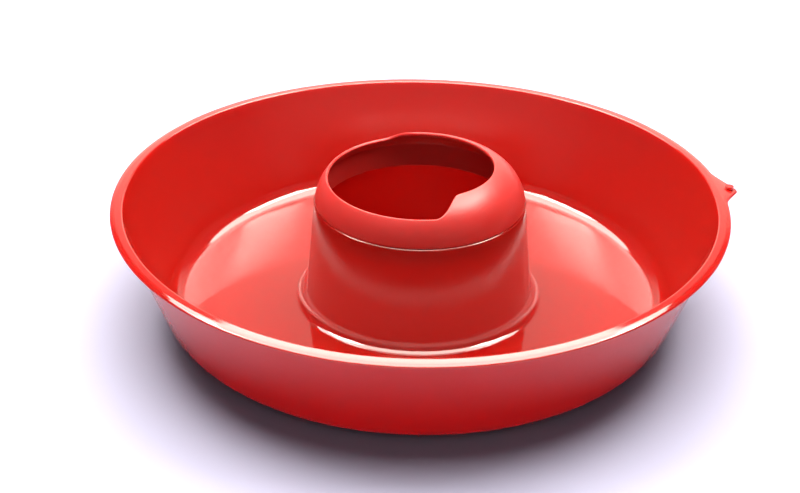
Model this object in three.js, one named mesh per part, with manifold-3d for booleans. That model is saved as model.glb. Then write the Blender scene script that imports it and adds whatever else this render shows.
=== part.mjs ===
// Round cooking dish with a hollow tower in its middle, and a loose collar that plugs into the tower.
// Millimetres, +Z up. The origin is on the dish's axis, at the surface that the dish stands on.
// The hanging tab points along the diagonal between +X and +Y.
import * as THREE from "three";
import { mergeVertices } from "three/addons/utils/BufferGeometryUtils.js";
import Module from "manifold-3d";

const wasm = await Module();
wasm.setup();

// Dish
const WALL = 2;
const RIM_RADIUS = 140;
const RIM_HEIGHT = 53.3;
const FLANGE_WIDTH = 5.5;
const FLANGE_THICKNESS = 1.5;
const FLANGE_EDGE_ROUND = 0.6;
const FLANGE_ROOT_ROUND = 1.5;
const RIM_INNER_ROUND = 0.8;
const WALL_LEAN = 20.5;
const INNER_CORNER_ROUND = 9.5;

// Tower in the middle of the dish, a tube that stands on the dish's floor and is open at the top
const TOWER_HEIGHT = 50.9;
const TOWER_TOP_RADIUS = 48.65;
const TOWER_DRAFT = 5.3;
const TOWER_FOOT_ROUND = 5.5;
const TOWER_WELL_ROUND = 3;
const TOWER_LIP_ROUND = 0.7;
const TOWER_BORE_ROUND = 0.3;

// Hanging tab, a thin triangle with hollow flanks and a round tip, moulded onto the rim flange
const TAB_DIRECTION = 45;
const TAB_HOLE_RADIUS = 1.8;
const TAB_HOLE_OFFSET = 143.8;
const TAB_TIP_RADIUS = 3.7;
const TAB_ROOT_HALF_WIDTH = 15.7;
const TAB_TIP_TURN = 65;
const TAB_ROOT_INSET = 2.5;
const TAB_ROOT_HANDLE = 5;
const TAB_TIP_HANDLE = 4;

// Collar: a shoulder of quarter-round section above a short skirt that drops inside the tower
const COLLAR_WALL = 1.4;
const COLLAR_GAP = 0.3;
const SHOULDER_RADIUS = 20.2;
const SHOULDER_CENTRE_RADIUS = 28.1;
const SHOULDER_CENTRE_HEIGHT = 49.1;
const SKIRT_DEPTH = 5;
const SKIRT_EDGE_ROUND = 0.4;

// The collar's lip follows the shoulder at two levels, joined by two S-shaped steps
const LOW_LIP_ANGLE = 43;
const HIGH_LIP_ANGLE = 74.5;
const HIGH_LIP_DIRECTION = 57;
const HIGH_LIP_SPAN = 174;
const LIP_STEP_WIDTH = 21;

const ROUND_SEGMENTS = 64;
const LIP_SEGMENTS = 96;
const SHOULDER_STEPS = 10;
const ARC_STEP_DEGREES = 45;
const ARC_STEP_LENGTH = 2.5;
const CUT_MARGIN = 5;

const radians = THREE.MathUtils.degToRad;
const sin = (degrees) => Math.sin(radians(degrees));
const cos = (degrees) => Math.cos(radians(degrees));
const tan = (degrees) => Math.tan(radians(degrees));

// Points of an arc about (x, y), both ends included.
function arc(x, y, radius, start, end, steps) {
  const points = [];
  for (let i = 0; i <= steps; i += 1) {
    const angle = start + ((end - start) * i) / steps;
    points.push(new THREE.Vector2(x + radius * cos(angle), y + radius * sin(angle)));
  }
  return points;
}

// A closed outline from corners [x, y, rounding radius], each rounded off by an arc unless its radius is 0.
function roundedOutline(corners) {
  const points = [];
  corners.forEach(([x, y, radius], i) => {
    const corner = new THREE.Vector2(x, y);
    if (radius === 0) {
      points.push(corner);
      return;
    }
    const before = new THREE.Vector2(...corners.at(i - 1)).sub(corner).normalize();
    const after = new THREE.Vector2(...corners[(i + 1) % corners.length]).sub(corner).normalize();
    const halfAngle = Math.acos(THREE.MathUtils.clamp(before.dot(after), -1, 1)) / 2;
    const middle = before.clone().add(after).normalize();
    const centre = corner.clone().addScaledVector(middle, radius / Math.sin(halfAngle));
    const first = corner.clone().addScaledVector(before, radius / Math.tan(halfAngle)).sub(centre);
    const last = corner.clone().addScaledVector(after, radius / Math.tan(halfAngle)).sub(centre);
    const start = THREE.MathUtils.radToDeg(Math.atan2(first.y, first.x));
    const turn = THREE.MathUtils.radToDeg(Math.atan2(first.cross(last), first.dot(last)));
    const byTurn = Math.ceil(Math.abs(turn) / ARC_STEP_DEGREES);
    const byLength = Math.ceil((radians(Math.abs(turn)) * radius) / ARC_STEP_LENGTH);
    const steps = Math.max(2, byTurn, byLength);
    points.push(...arc(centre.x, centre.y, radius, start, start + turn, steps));
  });
  return points;
}

// An outline of (radius, height) points, listed anticlockwise, turned about +Z. It closes on itself, unless it
// starts and ends on the axis.
function turned(outline) {
  const path = outline[0].x === 0 ? outline : [...outline, outline[0].clone()];
  return new THREE.LatheGeometry(path, ROUND_SEGMENTS).rotateX(Math.PI / 2);
}

function solidOf(geometry) {
  const bare = geometry.clone();
  bare.deleteAttribute("normal");
  bare.deleteAttribute("uv");
  const merged = mergeVertices(bare, 1e-4);
  return new wasm.Manifold(new wasm.Mesh({
    numProp: 3,
    vertProperties: Float32Array.from(merged.attributes.position.array),
    triVerts: Uint32Array.from(merged.index.array),
  }));
}

function geometryOf(solid) {
  const mesh = solid.getMesh();
  const geometry = new THREE.BufferGeometry();
  geometry.setAttribute("position", new THREE.BufferAttribute(mesh.vertProperties, 3));
  geometry.setIndex(new THREE.BufferAttribute(mesh.triVerts, 1));
  geometry.computeVertexNormals();
  return geometry;
}

// The dish's floor, outer wall, rim flange and tower are one moulding of even thickness.
function dishOutline() {
  const rimInner = RIM_RADIUS - FLANGE_WIDTH;
  const wallInner = (z) => rimInner + (z - RIM_HEIGHT) * tan(WALL_LEAN);
  const wallOuter = (z) => wallInner(z) + WALL / cos(WALL_LEAN);
  const towerOuter = (z) => TOWER_TOP_RADIUS + (TOWER_HEIGHT - z) * tan(TOWER_DRAFT);
  const towerInner = (z) => towerOuter(z) - WALL / cos(TOWER_DRAFT);
  const flangeBottom = RIM_HEIGHT - FLANGE_THICKNESS;
  return roundedOutline([
    [0, 0, 0],
    [wallOuter(0), 0, INNER_CORNER_ROUND + WALL],
    [wallOuter(flangeBottom), flangeBottom, FLANGE_ROOT_ROUND],
    [RIM_RADIUS, flangeBottom, FLANGE_EDGE_ROUND],
    [RIM_RADIUS, RIM_HEIGHT, FLANGE_EDGE_ROUND],
    [rimInner, RIM_HEIGHT, RIM_INNER_ROUND],
    [wallInner(WALL), WALL, INNER_CORNER_ROUND],
    [towerOuter(WALL), WALL, TOWER_FOOT_ROUND],
    [towerOuter(TOWER_HEIGHT), TOWER_HEIGHT, TOWER_LIP_ROUND],
    [towerInner(TOWER_HEIGHT), TOWER_HEIGHT, TOWER_BORE_ROUND],
    [towerInner(WALL), WALL, TOWER_WELL_ROUND],
    [0, WALL, 0],
  ]);
}

// The tab's outline runs along +X and is symmetric about it.
function tabGeometry() {
  const rootTurn = THREE.MathUtils.radToDeg(Math.asin(TAB_ROOT_HALF_WIDTH / RIM_RADIUS));
  const rootX = RIM_RADIUS * cos(rootTurn) - FLANGE_EDGE_ROUND;
  const rootHandleX = rootX + TAB_ROOT_HANDLE * sin(rootTurn);
  const rootHandleY = TAB_ROOT_HALF_WIDTH - TAB_ROOT_HANDLE * cos(rootTurn);
  const tipX = TAB_HOLE_OFFSET + TAB_TIP_RADIUS * cos(TAB_TIP_TURN);
  const tipY = TAB_TIP_RADIUS * sin(TAB_TIP_TURN);
  const tipHandleX = tipX - TAB_TIP_HANDLE * sin(TAB_TIP_TURN);
  const tipHandleY = tipY + TAB_TIP_HANDLE * cos(TAB_TIP_TURN);
  const shape = new THREE.Shape();
  shape.moveTo(rootX - TAB_ROOT_INSET, -TAB_ROOT_HALF_WIDTH);
  shape.lineTo(rootX, -TAB_ROOT_HALF_WIDTH);
  shape.bezierCurveTo(rootHandleX, -rootHandleY, tipHandleX, -tipHandleY, tipX, -tipY);
  shape.absarc(TAB_HOLE_OFFSET, 0, TAB_TIP_RADIUS, -radians(TAB_TIP_TURN), radians(TAB_TIP_TURN));
  shape.bezierCurveTo(tipHandleX, tipHandleY, rootHandleX, rootHandleY, rootX, TAB_ROOT_HALF_WIDTH);
  shape.lineTo(rootX - TAB_ROOT_INSET, TAB_ROOT_HALF_WIDTH);
  const hole = new THREE.Path();
  hole.absarc(TAB_HOLE_OFFSET, 0, TAB_HOLE_RADIUS, 0, 2 * Math.PI);
  shape.holes.push(hole);
  const settings = { depth: FLANGE_THICKNESS, bevelEnabled: false, curveSegments: 10 };
  return new THREE.ExtrudeGeometry(shape, settings)
    .translate(0, 0, RIM_HEIGHT - FLANGE_THICKNESS)
    .rotateZ(radians(TAB_DIRECTION));
}

function dishGeometry() {
  const bowl = solidOf(turned(dishOutline()));
  return geometryOf(bowl.add(solidOf(tabGeometry())));
}

// Angle up the shoulder at which the lip lies, for a direction about the collar's axis.
function lipAngle(direction) {
  const turnedAway = Math.abs(((direction - HIGH_LIP_DIRECTION + 540) % 360) - 180);
  const lowSide = (HIGH_LIP_SPAN + LIP_STEP_WIDTH) / 2;
  const highSide = (HIGH_LIP_SPAN - LIP_STEP_WIDTH) / 2;
  const rise = 1 - THREE.MathUtils.smoothstep(turnedAway, highSide, lowSide);
  return LOW_LIP_ANGLE + (HIGH_LIP_ANGLE - LOW_LIP_ANGLE) * rise;
}

// A tall prism over the collar's mouth, as wide as the lip at every direction.
function mouthGeometry() {
  const shape = new THREE.Shape();
  for (let i = 0; i < LIP_SEGMENTS; i += 1) {
    const direction = (360 * i) / LIP_SEGMENTS;
    const radius = SHOULDER_CENTRE_RADIUS + SHOULDER_RADIUS * cos(lipAngle(direction));
    const x = radius * cos(direction);
    const y = radius * sin(direction);
    if (i === 0) {
      shape.moveTo(x, y);
    } else {
      shape.lineTo(x, y);
    }
  }
  const top = SHOULDER_CENTRE_HEIGHT + SHOULDER_RADIUS + CUT_MARGIN;
  const settings = { depth: top - TOWER_HEIGHT, bevelEnabled: false };
  return new THREE.ExtrudeGeometry(shape, settings).translate(0, 0, TOWER_HEIGHT);
}

function collarGeometry() {
  const skirtOuter = TOWER_TOP_RADIUS - WALL / cos(TOWER_DRAFT) - COLLAR_GAP;
  const skirtInner = skirtOuter - COLLAR_WALL;
  const skirtBottom = TOWER_HEIGHT - SKIRT_DEPTH;
  const seat = TOWER_HEIGHT + COLLAR_GAP;
  const innerRadius = SHOULDER_RADIUS - COLLAR_WALL;
  const seatRise = seat - SHOULDER_CENTRE_HEIGHT;
  const outerStart = THREE.MathUtils.radToDeg(Math.asin(seatRise / SHOULDER_RADIUS));
  const skirtReach = skirtInner - SHOULDER_CENTRE_RADIUS;
  const innerEnd = THREE.MathUtils.radToDeg(Math.acos(skirtReach / innerRadius));
  const top = HIGH_LIP_ANGLE + CUT_MARGIN;
  const centre = [SHOULDER_CENTRE_RADIUS, SHOULDER_CENTRE_HEIGHT];
  const outline = [
    ...arc(skirtInner + SKIRT_EDGE_ROUND, skirtBottom + SKIRT_EDGE_ROUND, SKIRT_EDGE_ROUND, 180, 270, 2),
    ...arc(skirtOuter - SKIRT_EDGE_ROUND, skirtBottom + SKIRT_EDGE_ROUND, SKIRT_EDGE_ROUND, 270, 360, 2),
    new THREE.Vector2(skirtOuter, seat),
    ...arc(...centre, SHOULDER_RADIUS, outerStart, top, SHOULDER_STEPS),
    ...arc(...centre, innerRadius, top, innerEnd, SHOULDER_STEPS),
  ];
  const shoulder = solidOf(turned(outline));
  return geometryOf(shoulder.subtract(solidOf(mouthGeometry())));
}

function part(name, geometry, material) {
  const mesh = new THREE.Mesh(geometry, material);
  mesh.name = name;
  return mesh;
}

function dishMaterial() {
  return new THREE.MeshStandardMaterial({ color: 0xc8161c, roughness: 0.15, metalness: 0 });
}

function collarMaterial() {
  return new THREE.MeshStandardMaterial({ color: 0xc41c26, roughness: 0.45, metalness: 0 });
}

const object = new THREE.Group();
object.add(part("dish", dishGeometry(), dishMaterial()));
object.add(part("tower_collar", collarGeometry(), collarMaterial()));

export default object;
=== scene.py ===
"""Looks of a round red cooking dish with a hollow tower, and of the loose collar that plugs into it.

Metres, +Z up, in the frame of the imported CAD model. Profile sizes are given in millimetres, as they are
drawn, and turned into metres when a mesh is made. "Studio" directions are measured from the line that runs
from the camera over the dish, so the studio can be turned as one with the camera. Angles are in degrees.
"""
import math

import bpy
import numpy as np
from mathutils import Matrix, Vector


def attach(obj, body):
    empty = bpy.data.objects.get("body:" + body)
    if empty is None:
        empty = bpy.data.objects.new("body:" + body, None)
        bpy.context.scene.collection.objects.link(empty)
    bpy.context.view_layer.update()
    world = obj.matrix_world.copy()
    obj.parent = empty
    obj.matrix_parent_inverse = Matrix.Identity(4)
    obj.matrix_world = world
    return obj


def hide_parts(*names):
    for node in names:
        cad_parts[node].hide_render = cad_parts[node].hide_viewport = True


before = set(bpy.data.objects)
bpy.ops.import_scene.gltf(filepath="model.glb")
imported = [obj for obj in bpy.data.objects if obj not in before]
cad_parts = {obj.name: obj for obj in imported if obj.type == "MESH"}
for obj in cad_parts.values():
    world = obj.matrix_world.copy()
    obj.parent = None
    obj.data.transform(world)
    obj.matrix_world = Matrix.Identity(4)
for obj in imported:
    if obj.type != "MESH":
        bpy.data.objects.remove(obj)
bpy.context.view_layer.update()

MM = 0.001

# Dish
WALL = 2.0
RIM_RADIUS = 140.0
RIM_HEIGHT = 53.3
FLANGE_WIDTH = 5.5
FLANGE_THICKNESS = 1.5
FLANGE_EDGE_ROUND = 0.35
FLANGE_ROOT_ROUND = 1.5
FLANGE_CREST = 3.4
FLANGE_CREST_DROP = 0.15
FLANGE_CREST_ROUND = 4.0
FLANGE_EDGE_DROP = 0.75
FLANGE_BROW_ROUND = 0.9
RIM_INNER_ROUND = 0.9
RIM_WARP = 1.17
RIM_WARP_DIRECTION = 36.7
RIM_WARP_POWER = 2
WALL_LEAN = 20.5
INNER_CORNER_ROUND = 9.5

# Tower
TOWER_HEIGHT = 50.9
TOWER_TOP_RADIUS = 48.65
TOWER_DRAFT = 5.3
TOWER_FOOT_ROUND = 5.5
TOWER_WELL_ROUND = 3.0
TOWER_LIP_ROUND = 0.7
TOWER_BORE_ROUND = 0.3

# Hanging tab
TAB_DIRECTION = 45.0
TAB_HOLE_RADIUS = 1.8
TAB_HOLE_OFFSET = 143.8
TAB_TIP_RADIUS = 3.7
TAB_ROOT_HALF_WIDTH = 15.7
TAB_TIP_TURN = 32.0
TAB_ROOT_HANDLE = 3.0
TAB_TIP_HANDLE = 6.0
TAB_BLEND_START = 137.4
TAB_BLEND_END = 139.2
TAB_HOLE_EDGE_ROUND = 0.1
TAB_DROOP = 1.6

# Collar
COLLAR_WALL = 1.4
COLLAR_GAP = 0.3
SHOULDER_RADIUS = 20.2
SHOULDER_CENTRE_RADIUS = 28.1
SHOULDER_CENTRE_HEIGHT = 49.1
SKIRT_DEPTH = 5.0
SKIRT_EDGE_ROUND = 0.4
SEAT_EDGE_ROUND = 0.25
LIP_EDGE_ROUND = 0.4
LOW_LIP_ANGLE = 43.0
HIGH_LIP_ANGLE = 74.5
HIGH_LIP_DIRECTION = 57.0
HIGH_LIP_SPAN = 174.0
LIP_STEP_WIDTH = 21.0

# Mesh fineness
ARC_STEP = 6.0
ARC_SUPPORT = 0.12
STRAIGHT_STEP = 6.0
DISH_COLUMN = 1.25
TAB_COLUMN = 0.2
TAB_REACH = 7.5
COLLAR_COLUMN = 1.25
STEP_COLUMN = 0.5
SHOULDER_STEP = 3.0
SMALL_ARC_STEP = 22.5
TAB_CURVE_STEPS = 24
TAB_HOLE_SIDES = 48
CUT_MARGIN = 1.0
STEP_ZONE_SHARE = 0.6
SHARP_ANGLE = 35.0

# Plastics: the two reds that each drifts between, its gloss, its grain and how far light travels inside it.
# The dish's walls are rougher by WALL_DULLNESS from the heights WALL_START up to the heights WALL_END.
DISH_REDS = ((0.33, 0.009, 0.006), (0.30, 0.008, 0.005))
DISH_ROUGHNESS = 0.05
DISH_ROUGHNESS_SPREAD = 0.015
DISH_GRAIN_SCALE = 180.0
DISH_GRAIN_DEPTH = 2e-6
DISH_IOR = 1.78
DISH_LIGHT_REACH = 0.0085
WALL_DULLNESS = 0.14
WALL_START = (0.007, 0.016)
WALL_END = (0.046, 0.051)
COLLAR_REDS = ((0.50, 0.026, 0.023), (0.46, 0.023, 0.020))
COLLAR_ROUGHNESS = 0.36
COLLAR_ROUGHNESS_SPREAD = 0.04
COLLAR_GRAIN_SCALE = 900.0
COLLAR_GRAIN_DEPTH = 6e-6
COLLAR_IOR = 1.55
COLLAR_LIGHT_REACH = 0.002
LIGHT_REACH_RGB = (1.0, 0.05, 0.05)
COLOUR_NOISE_SCALE = 14.0
GLOSS_NOISE_SCALE = 60.0
GLOSS_NOISE_DETAIL = 4.0
GLOSS_NOISE_RANGE = (0.3, 0.7)

# Camera: where it stands, seen from the dish, and what it looks at
LENS = 67.5
SENSOR_WIDTH = 36.0
CAMERA_AZIMUTH = -49.85
CAMERA_ELEVATION = 28.26
CAMERA_DISTANCE = 0.6943
AIM_HEIGHT = 0.03733
AIM_RIGHT = -0.00882
AIM_UP = -0.01023
CAMERA_ROLL = 0.69

# Studio: floor, lamps and surroundings
STUDIO_TURN = CAMERA_AZIMUTH + 90.0
FLOOR_HALF_SIZE = 4.0
FLOOR_COLOUR = (0.415, 0.41, 0.565)
FLOOR_ROUGHNESS = 0.6
FLOOR_SPECULAR = 0.2
LAMP_COLOUR = (1.0, 0.96, 0.86)
SOFTBOX_HEIGHT = 0.8
SOFTBOX_REACH = 0.3
SOFTBOX_SIZE = (1.12, 1.3)
SOFTBOX_RADIANCE = 8.2
SIDE_LAMP_OFFSET = 0.47
SIDE_LAMP_REACH = 0.18
SIDE_LAMP_DROP = 0.02
SIDE_LAMP_SIZE = (0.18, 0.46)
SIDE_LAMP_RADIANCE = 20.0
AIR = (0.05, 0.055, 0.065)
BACKDROP = (1.7, 1.65, 1.4)
BACKDROP_ELEVATION = 0.0
BACKDROP_EDGE = (0.76, 0.97)
ROOM = (0.18, 0.17, 0.15)
ROOM_ELEVATION = 14.0
ROOM_EDGE = (0.2, 0.75)


def sin(degrees):
    return math.sin(math.radians(degrees))


def cos(degrees):
    return math.cos(math.radians(degrees))


def tan(degrees):
    return math.tan(math.radians(degrees))


# ---------------------------------------------------------------- outlines

def arc(x, y, radius, start, end, step=ARC_STEP):
    """Points of an arc about (x, y), both ends included, a step of degrees apart or less."""
    count = max(2, math.ceil(abs(end - start) / step))
    angles = np.radians(np.linspace(start, end, count + 1))
    return [(x + radius * math.cos(a), y + radius * math.sin(a)) for a in angles]


def straight(a, b, step=STRAIGHT_STEP):
    """Points between a and b, both left out: one close to each end, to keep shading flat, and even steps."""
    a, b = Vector(a), Vector(b)
    length = (b - a).length
    if length < 3 * ARC_SUPPORT:
        return []
    count = max(1, round((length - 2 * ARC_SUPPORT) / step))
    places = np.linspace(ARC_SUPPORT, length - ARC_SUPPORT, count + 1)
    return [tuple(a.lerp(b, place / length)) for place in places]


def rounded_outline(corners):
    """A closed outline from corners (x, y, rounding radius), each rounded unless its radius is 0."""
    arcs = []
    for i, (x, y, radius) in enumerate(corners):
        corner = Vector((x, y))
        if radius == 0:
            arcs.append([tuple(corner)])
            continue
        before = (Vector(corners[i - 1][:2]) - corner).normalized()
        after = (Vector(corners[(i + 1) % len(corners)][:2]) - corner).normalized()
        half = before.angle(after) / 2
        centre = corner + (before + after).normalized() * (radius / math.sin(half))
        first = corner + before * (radius / math.tan(half)) - centre
        last = corner + after * (radius / math.tan(half)) - centre
        start = math.degrees(math.atan2(first.y, first.x))
        turn = math.degrees(math.atan2(first.x * last.y - first.y * last.x, first.dot(last)))
        arcs.append(arc(centre.x, centre.y, radius, start, start + turn))
    points = []
    for i, one in enumerate(arcs):
        points += one
        points += straight(one[-1], arcs[(i + 1) % len(arcs)][0])
    return points


# ---------------------------------------------------------------- meshes

def linked_object(name, data):
    """A new object in the scene that shows the given mesh, camera or light."""
    made = bpy.data.objects.new(name, data)
    bpy.context.scene.collection.objects.link(made)
    return made


def mesh_object(name, vertices, faces):
    mesh = bpy.data.meshes.new(name)
    mesh.from_pydata(vertices, [], faces)
    mesh.update()
    return linked_object(name, mesh)


def grid_object(name, rows, centres=()):
    """An object from rows of points, one row for each azimuth. A row closes on itself, or runs from the
    first centre to the second where there are centres."""
    columns, count = len(rows), len(rows[0])
    vertices = [Vector(p) * MM for row in rows for p in row]
    faces = []
    for i in range(columns):
        j = (i + 1) % columns
        for k in range(count if not centres else count - 1):
            m = (k + 1) % count
            faces.append((i * count + k, j * count + k, j * count + m, i * count + m))
        if centres:
            faces.append((len(vertices), j * count, i * count))
            faces.append((len(vertices) + 1, i * count + count - 1, j * count + count - 1))
    vertices += [Vector(p) * MM for p in centres]
    return mesh_object(name, vertices, faces)


def around(radius, height, azimuth):
    return (radius * cos(azimuth), radius * sin(azimuth), height)


def turn_between(azimuth, middle):
    """How far an azimuth is from another one, 0 to 180 degrees."""
    return abs((azimuth - middle + 180) % 360 - 180)


def cut(piece, cutter):
    """Takes the cutter's shape out of the piece, and removes the cutter."""
    modifier = piece.modifiers.new("cut", "BOOLEAN")
    modifier.object = cutter
    modifier.operation = "DIFFERENCE"
    modifier.solver = "EXACT"
    graph = bpy.context.evaluated_depsgraph_get()
    result = bpy.data.meshes.new_from_object(piece.evaluated_get(graph))
    piece.modifiers.clear()
    old = piece.data
    piece.data = result
    bpy.data.meshes.remove(old)
    bpy.data.objects.remove(cutter)


def smooth(piece):
    mesh = piece.data
    mesh.shade_smooth()
    mesh.set_sharp_from_angle(angle=math.radians(SHARP_ANGLE))


def column_angles(coarse, fine, zones):
    """Angles round the circle, a coarse step apart, or a fine one inside the zones (middle, half width)."""
    angles = []
    for angle in np.arange(0, 360, coarse):
        if all(turn_between(angle, middle) > half for middle, half in zones):
            angles.append(angle)
    for middle, half in zones:
        angles += list(middle + np.linspace(-half, half, round(2 * half / fine) + 1))
    return sorted(angle % 360 for angle in angles)


# ---------------------------------------------------------------- dish

def dish_outline():
    rim_inner = RIM_RADIUS - FLANGE_WIDTH
    flange_bottom = RIM_HEIGHT - FLANGE_THICKNESS

    def wall_inner(z):
        return rim_inner + (z - RIM_HEIGHT) * tan(WALL_LEAN)

    def wall_outer(z):
        return wall_inner(z) + WALL / cos(WALL_LEAN)

    def tower_outer(z):
        return TOWER_TOP_RADIUS + (TOWER_HEIGHT - z) * tan(TOWER_DRAFT)

    def tower_inner(z):
        return tower_outer(z) - WALL / cos(TOWER_DRAFT)

    return rounded_outline([
        (0, 0, 0),
        (wall_outer(0), 0, INNER_CORNER_ROUND + WALL),
        (wall_outer(flange_bottom), flange_bottom, FLANGE_ROOT_ROUND),
        (RIM_RADIUS, flange_bottom, FLANGE_EDGE_ROUND),
        (RIM_RADIUS, RIM_HEIGHT - FLANGE_EDGE_DROP, FLANGE_BROW_ROUND),
        (rim_inner + FLANGE_CREST, RIM_HEIGHT - FLANGE_CREST_DROP, FLANGE_CREST_ROUND),
        (rim_inner, RIM_HEIGHT, RIM_INNER_ROUND),
        (wall_inner(WALL), WALL, INNER_CORNER_ROUND),
        (tower_outer(WALL), WALL, TOWER_FOOT_ROUND),
        (tower_outer(TOWER_HEIGHT), TOWER_HEIGHT, TOWER_LIP_ROUND),
        (tower_inner(TOWER_HEIGHT), TOWER_HEIGHT, TOWER_BORE_ROUND),
        (tower_inner(WALL), WALL, TOWER_WELL_ROUND),
        (0, WALL, 0),
    ])


def rim_lift(azimuth, height):
    """How far the wall is warped up: two opposite sides of the rim stand higher than the two between."""
    return RIM_WARP * cos(2 * (azimuth - RIM_WARP_DIRECTION)) * (height / RIM_HEIGHT) ** RIM_WARP_POWER


def bezier(a, b, c, d, count):
    points = []
    for i in range(count + 1):
        t = i / count
        u = 1 - t
        points.append(u ** 3 * a + 3 * u * u * t * b + 3 * u * t * t * c + t ** 3 * d)
    return points


def tab_edge():
    """Half of the tab's outline, tip to root, as angles from the tab's middle and distances from the axis."""
    root_turn = math.degrees(math.asin(TAB_ROOT_HALF_WIDTH / RIM_RADIUS))
    root = Vector((RIM_RADIUS * cos(root_turn), TAB_ROOT_HALF_WIDTH))
    root_handle = root + TAB_ROOT_HANDLE * Vector((sin(root_turn), -cos(root_turn)))
    tip = Vector((TAB_HOLE_OFFSET + TAB_TIP_RADIUS * cos(TAB_TIP_TURN), TAB_TIP_RADIUS * sin(TAB_TIP_TURN)))
    tip_handle = tip + TAB_TIP_HANDLE * Vector((-sin(TAB_TIP_TURN), cos(TAB_TIP_TURN)))
    points = bezier(root, root_handle, tip_handle, tip, TAB_CURVE_STEPS)
    points += [Vector(p) for p in arc(TAB_HOLE_OFFSET, 0, TAB_TIP_RADIUS, TAB_TIP_TURN, 0)][1:]
    turns = [math.degrees(math.atan2(p.y, p.x)) for p in points]
    return turns[::-1], [p.length for p in points][::-1]


def tab_hole_cutter():
    """A spool: a cylinder that flares at the flange's two faces, to round off the hole's edges."""
    reach = (TAB_HOLE_OFFSET - RIM_RADIUS) / (TAB_HOLE_OFFSET + TAB_TIP_RADIUS - RIM_RADIUS)
    drop = reach * TAB_DROOP - rim_lift(TAB_DIRECTION, RIM_HEIGHT)
    top = RIM_HEIGHT - FLANGE_EDGE_DROP / 2 - drop
    bottom = RIM_HEIGHT - FLANGE_THICKNESS - drop
    edge = TAB_HOLE_EDGE_ROUND
    flared = TAB_HOLE_RADIUS + edge
    outline = [(flared, bottom - CUT_MARGIN)]
    outline += arc(flared, bottom + edge, edge, 270, 180, SMALL_ARC_STEP)
    outline += arc(flared, top - edge, edge, 180, 90, SMALL_ARC_STEP)
    outline.append((flared, top + CUT_MARGIN))
    centre = Vector(around(TAB_HOLE_OFFSET, 0, TAB_DIRECTION))
    count = len(outline)
    vertices = []
    faces = []
    for i in range(TAB_HOLE_SIDES):
        vertices += [(centre + Vector(around(r, z, 360 * i / TAB_HOLE_SIDES))) * MM for r, z in outline]
        here = i * count
        there = (i + 1) % TAB_HOLE_SIDES * count
        faces += [(here + k, there + k, there + k + 1, here + k + 1) for k in range(count - 1)]
    faces.append([i * count for i in reversed(range(TAB_HOLE_SIDES))])
    faces.append([i * count + count - 1 for i in range(TAB_HOLE_SIDES)])
    return mesh_object("tab_hole_cutter", vertices, faces)


def make_dish():
    outline = [point for point in dish_outline() if point[0] > STRAIGHT_STEP / 2]
    edge_turns, edge_reaches = tab_edge()
    tab_length = TAB_HOLE_OFFSET + TAB_TIP_RADIUS - RIM_RADIUS
    rows = []
    for azimuth in column_angles(DISH_COLUMN, TAB_COLUMN, [(TAB_DIRECTION, TAB_REACH)]):
        turn = turn_between(azimuth, TAB_DIRECTION)
        stretch = np.interp(turn, edge_turns, edge_reaches, right=RIM_RADIUS) - RIM_RADIUS
        row = []
        for radius, height in outline:
            share = min(1, max(0, (radius - TAB_BLEND_START) / (TAB_BLEND_END - TAB_BLEND_START)))
            lift = rim_lift(azimuth, height) if radius > RIM_RADIUS / 2 else 0
            droop = TAB_DROOP * share * stretch / tab_length
            row.append(around(radius + share * stretch, height + lift - droop, azimuth))
        rows.append(row)
    dish = grid_object("dish_moulding", rows, [(0, 0, 0), (0, 0, WALL)])
    cut(dish, tab_hole_cutter())
    smooth(dish)
    return dish


# ---------------------------------------------------------------- collar

def lip_rise(azimuth):
    """The lip's angle up the shoulder, and how fast it climbs, in degrees per degree."""
    start = (HIGH_LIP_SPAN - LIP_STEP_WIDTH) / 2
    t = min(1, max(0, (turn_between(azimuth, HIGH_LIP_DIRECTION) - start) / LIP_STEP_WIDTH))
    height = HIGH_LIP_ANGLE - LOW_LIP_ANGLE
    angle = HIGH_LIP_ANGLE - height * t * t * (3 - 2 * t)
    return angle, height * 6 * t * (1 - t) / LIP_STEP_WIDTH


def shoulder_point(radius, angle):
    return (SHOULDER_CENTRE_RADIUS + radius * cos(angle), SHOULDER_CENTRE_HEIGHT + radius * sin(angle))


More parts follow.
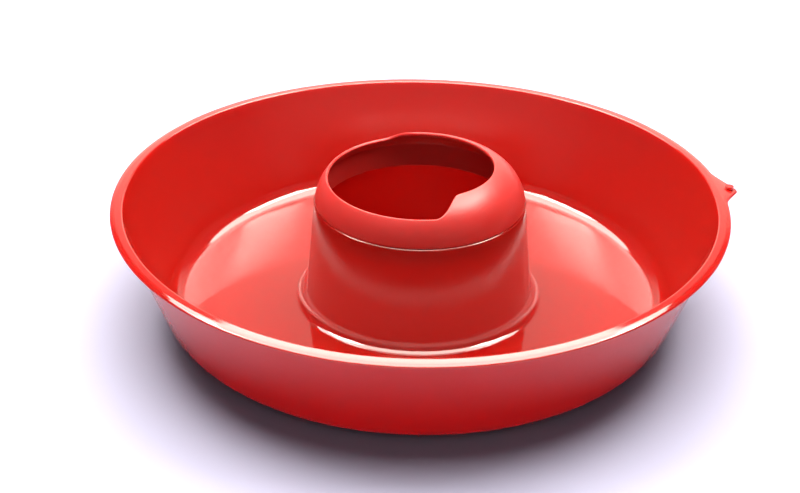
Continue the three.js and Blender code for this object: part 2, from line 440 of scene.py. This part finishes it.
def collar_outline(azimuth):
    """The collar's section at one azimuth, from the skirt's lower edge up the outside and down the inside."""
    outer_radius = SHOULDER_RADIUS
    inner_radius = SHOULDER_RADIUS - COLLAR_WALL
    skirt_outer = TOWER_TOP_RADIUS - WALL / cos(TOWER_DRAFT) - COLLAR_GAP
    skirt_inner = skirt_outer - COLLAR_WALL
    skirt_bottom = TOWER_HEIGHT - SKIRT_DEPTH
    seat = TOWER_HEIGHT + COLLAR_GAP
    edge = SKIRT_EDGE_ROUND
    points = arc(skirt_inner + edge, skirt_bottom + edge, edge, 180, 270, SMALL_ARC_STEP)
    points += arc(skirt_outer - edge, skirt_bottom + edge, edge, 270, 360, SMALL_ARC_STEP)
    points += straight(points[-1], (skirt_outer, seat))
    points.append((skirt_outer, seat))
    seat_turn = math.degrees(math.asin((seat - SHOULDER_CENTRE_HEIGHT) / outer_radius))
    seat_reach = shoulder_point(outer_radius, seat_turn)[0]
    edge = SEAT_EDGE_ROUND
    points += straight((skirt_outer, seat), (seat_reach - edge, seat))
    points += arc(seat_reach - edge, seat + edge, edge, 270, 360, SMALL_ARC_STEP)

    lip, climb = lip_rise(azimuth)
    slope = climb * outer_radius / shoulder_point(outer_radius, lip)[0]
    round_along = math.degrees(LIP_EDGE_ROUND * math.hypot(1, slope) / outer_radius)
    start = seat_turn + math.degrees(2 * SEAT_EDGE_ROUND / outer_radius)
    steps = math.ceil((HIGH_LIP_ANGLE - start) / SHOULDER_STEP)
    points += [shoulder_point(outer_radius, a) for a in np.linspace(start, lip - round_along, steps)]
    quarter = np.arange(SMALL_ARC_STEP, 90 + SMALL_ARC_STEP, SMALL_ARC_STEP)
    edge = LIP_EDGE_ROUND
    for a in quarter:
        points.append(shoulder_point(outer_radius - edge * (1 - cos(a)), lip - round_along * (1 - sin(a))))
    for a in quarter[::-1]:
        points.append(shoulder_point(inner_radius + edge * (1 - cos(a)), lip - round_along * (1 - sin(a))))
    inner_end = math.degrees(math.acos((skirt_inner - SHOULDER_CENTRE_RADIUS) / inner_radius))
    points += [shoulder_point(inner_radius, a) for a in np.linspace(lip - round_along, inner_end, steps)]
    points += straight(points[-1], (skirt_inner, skirt_bottom + SKIRT_EDGE_ROUND))
    return points


def make_collar():
    step_turn = HIGH_LIP_SPAN / 2
    zones = [(HIGH_LIP_DIRECTION + side * step_turn, LIP_STEP_WIDTH * STEP_ZONE_SHARE) for side in (-1, 1)]
    angles = column_angles(COLLAR_COLUMN, STEP_COLUMN, zones)
    rows = [[around(r, z, azimuth) for r, z in collar_outline(azimuth)] for azimuth in angles]
    collar = grid_object("collar_moulding", rows)
    smooth(collar)
    return collar


# ---------------------------------------------------------------- materials

def new_material(name):
    material = bpy.data.materials.new(name)
    material.use_nodes = True
    nodes = material.node_tree.nodes
    nodes.clear()
    shader = nodes.new("ShaderNodeBsdfPrincipled")
    output = nodes.new("ShaderNodeOutputMaterial")
    material.node_tree.links.new(shader.outputs["BSDF"], output.inputs["Surface"])
    return material, shader


def noise(tree, coordinates, scale, detail=2.0):
    node = tree.nodes.new("ShaderNodeTexNoise")
    node.inputs["Scale"].default_value = scale
    node.inputs["Detail"].default_value = detail
    tree.links.new(coordinates, node.inputs["Vector"])
    return node.outputs["Fac"]


def remap(tree, value, low, high, to_low, to_high):
    node = tree.nodes.new("ShaderNodeMapRange")
    tree.links.new(value, node.inputs["Value"])
    node.inputs["From Min"].default_value = low
    node.inputs["From Max"].default_value = high
    node.inputs["To Min"].default_value = to_low
    node.inputs["To Max"].default_value = to_high
    return node.outputs["Result"]


def plastic(name, reds, roughness, spread, grain_scale, grain_depth):
    """Moulded plastic: its colour drifts a little, its gloss too, and its skin has a fine grain."""
    colour, darker = reds
    material, shader = new_material(name)
    tree = material.node_tree
    place = tree.nodes.new("ShaderNodeTexCoord").outputs["Object"]
    mix = tree.nodes.new("ShaderNodeMix")
    mix.data_type = "RGBA"
    mix.inputs["A"].default_value = (*colour, 1)
    mix.inputs["B"].default_value = (*darker, 1)
    tree.links.new(noise(tree, place, COLOUR_NOISE_SCALE), mix.inputs["Factor"])
    tree.links.new(mix.outputs["Result"], shader.inputs["Base Color"])
    patches = noise(tree, place, GLOSS_NOISE_SCALE, GLOSS_NOISE_DETAIL)
    gloss = remap(tree, patches, *GLOSS_NOISE_RANGE, roughness - spread, roughness + spread)
    tree.links.new(gloss, shader.inputs["Roughness"])
    bump = tree.nodes.new("ShaderNodeBump")
    bump.inputs["Distance"].default_value = grain_depth
    bump.inputs["Strength"].default_value = 1.0
    tree.links.new(noise(tree, place, grain_scale), bump.inputs["Height"])
    tree.links.new(bump.outputs["Normal"], shader.inputs["Normal"])
    return material, shader


def let_light_in(shader, ior, reach):
    """Red light travels some way inside the plastic, green and blue hardly any."""
    shader.inputs["IOR"].default_value = ior
    shader.inputs["Subsurface Weight"].default_value = 1.0
    shader.inputs["Subsurface Radius"].default_value = LIGHT_REACH_RGB
    shader.inputs["Subsurface Scale"].default_value = reach


def dish_plastic():
    """Glossy plastic, a little less so on the walls between the floor and the rim."""
    material, shader = plastic("dish_gloss_red", DISH_REDS, DISH_ROUGHNESS, DISH_ROUGHNESS_SPREAD,
                               DISH_GRAIN_SCALE, DISH_GRAIN_DEPTH)
    let_light_in(shader, DISH_IOR, DISH_LIGHT_REACH)
    tree = material.node_tree
    place = tree.nodes.new("ShaderNodeTexCoord").outputs["Object"]
    height = tree.nodes.new("ShaderNodeSeparateXYZ")
    tree.links.new(place, height.inputs["Vector"])
    dullness = tree.nodes.new("ShaderNodeMath")
    dullness.operation = "MULTIPLY_ADD"
    tree.links.new(remap(tree, height.outputs["Z"], *WALL_START, 0, 1), dullness.inputs[0])
    tree.links.new(remap(tree, height.outputs["Z"], *WALL_END, WALL_DULLNESS, 0), dullness.inputs[1])
    tree.links.new(shader.inputs["Roughness"].links[0].from_socket, dullness.inputs[2])
    tree.links.new(dullness.outputs["Value"], shader.inputs["Roughness"])
    return material


def collar_plastic():
    material, shader = plastic("collar_satin_red", COLLAR_REDS, COLLAR_ROUGHNESS, COLLAR_ROUGHNESS_SPREAD,
                               COLLAR_GRAIN_SCALE, COLLAR_GRAIN_DEPTH)
    let_light_in(shader, COLLAR_IOR, COLLAR_LIGHT_REACH)
    return material


# ---------------------------------------------------------------- studio

def studio(x, y, z):
    """A point given from the camera's side: x to its right, y away from it, z up."""
    return Matrix.Rotation(math.radians(STUDIO_TURN), 4, "Z") @ Vector((x, y, z))


def make_camera():
    back = Vector(around(cos(CAMERA_ELEVATION), sin(CAMERA_ELEVATION), CAMERA_AZIMUTH))
    right = Vector((-sin(CAMERA_AZIMUTH), cos(CAMERA_AZIMUTH), 0))
    up = back.cross(right)
    pivot = Vector((0, 0, AIM_HEIGHT))
    place = pivot + CAMERA_DISTANCE * back
    forward = (pivot + AIM_RIGHT * right + AIM_UP * up - place).normalized()
    right = forward.cross(Vector((0, 0, 1))).normalized()
    up = right.cross(forward)
    rolled_right = cos(CAMERA_ROLL) * right + sin(CAMERA_ROLL) * up
    rolled_up = cos(CAMERA_ROLL) * up - sin(CAMERA_ROLL) * right
    data = bpy.data.cameras.new("camera")
    data.lens = LENS
    data.sensor_width = SENSOR_WIDTH
    camera = linked_object("camera", data)
    axes = Matrix((rolled_right, rolled_up, -forward)).transposed()
    camera.matrix_world = Matrix.Translation(place) @ axes.to_4x4()
    bpy.context.scene.camera = camera


def make_lamp(name, shape, place, size, radiance):
    """A level sheet of even light that shines down. Its size is its width and its depth in the studio."""
    width, depth = size
    area = width * depth * (math.pi / 4 if shape == "ELLIPSE" else 1)
    data = bpy.data.lights.new(name, "AREA")
    data.shape = shape
    data.size = width
    data.size_y = depth
    data.energy = radiance * math.pi * area
    data.color = LAMP_COLOUR
    lamp = linked_object(name, data)
    lamp.location = studio(*place)
    lamp.rotation_euler = (0, 0, math.radians(STUDIO_TURN))


def make_lamps():
    """An oval softbox above the dish, further behind it than in front, and a brighter lamp to each side."""
    make_lamp("softbox", "ELLIPSE", (0, SOFTBOX_REACH, SOFTBOX_HEIGHT), SOFTBOX_SIZE, SOFTBOX_RADIANCE)
    for side in (-1, 1):
        place = (side * SIDE_LAMP_OFFSET, SIDE_LAMP_REACH, SOFTBOX_HEIGHT - SIDE_LAMP_DROP)
        make_lamp(f"side_lamp_{side}", "RECTANGLE", place, SIDE_LAMP_SIZE, SIDE_LAMP_RADIANCE)


def glow(tree, middle, edge, colour):
    """A soft patch of colour about one direction. The edge gives the cosines where it starts and is full."""
    direction = tree.nodes.new("ShaderNodeTexCoord").outputs["Generated"]
    dot = tree.nodes.new("ShaderNodeVectorMath")
    dot.operation = "DOT_PRODUCT"
    dot.inputs[1].default_value = middle
    tree.links.new(direction, dot.inputs[0])
    scale = tree.nodes.new("ShaderNodeVectorMath")
    scale.operation = "SCALE"
    scale.inputs[0].default_value = colour
    tree.links.new(remap(tree, dot.outputs["Value"], *edge, 0, 1), scale.inputs["Scale"])
    return scale.outputs["Vector"]


def add(tree, a, b):
    node = tree.nodes.new("ShaderNodeVectorMath")
    tree.links.new(a, node.inputs[0])
    tree.links.new(b, node.inputs[1])
    return node.outputs["Vector"]


def make_world():
    """Dim air all round, a bright backdrop behind the dish and a weak glow of the room behind the camera."""
    world = bpy.data.worlds.new("studio_air")
    bpy.context.scene.world = world
    world.use_nodes = True
    tree = world.node_tree
    backdrop_middle = studio(0, cos(BACKDROP_ELEVATION), sin(BACKDROP_ELEVATION))
    room_middle = studio(0, -cos(ROOM_ELEVATION), sin(ROOM_ELEVATION))
    backdrop = glow(tree, backdrop_middle, BACKDROP_EDGE, BACKDROP)
    room = glow(tree, room_middle, ROOM_EDGE, ROOM)
    air = tree.nodes.new("ShaderNodeVectorMath")
    air.inputs[0].default_value = AIR
    tree.links.new(add(tree, backdrop, room), air.inputs[1])
    tree.links.new(air.outputs["Vector"], tree.nodes["Background"].inputs["Color"])


def make_floor():
    reach = FLOOR_HALF_SIZE
    corners = [(-reach, -reach, 0), (reach, -reach, 0), (reach, reach, 0), (-reach, reach, 0)]
    floor = mesh_object("floor", corners, [(0, 1, 2, 3)])
    material, shader = new_material("floor_white")
    shader.inputs["Base Color"].default_value = (*FLOOR_COLOUR, 1)
    shader.inputs["Roughness"].default_value = FLOOR_ROUGHNESS
    shader.inputs["Specular IOR Level"].default_value = FLOOR_SPECULAR
    floor.data.materials.append(material)


# ---------------------------------------------------------------- assembly

make_camera()

dish = make_dish()
dish.data.materials.append(dish_plastic())
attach(dish, "dish")
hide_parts("dish")

collar = make_collar()
collar.data.materials.append(collar_plastic())
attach(collar, "collar")
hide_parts("tower_collar")

make_floor()
make_lamps()
make_world()

bpy.context.scene.view_settings.view_transform = "Standard"
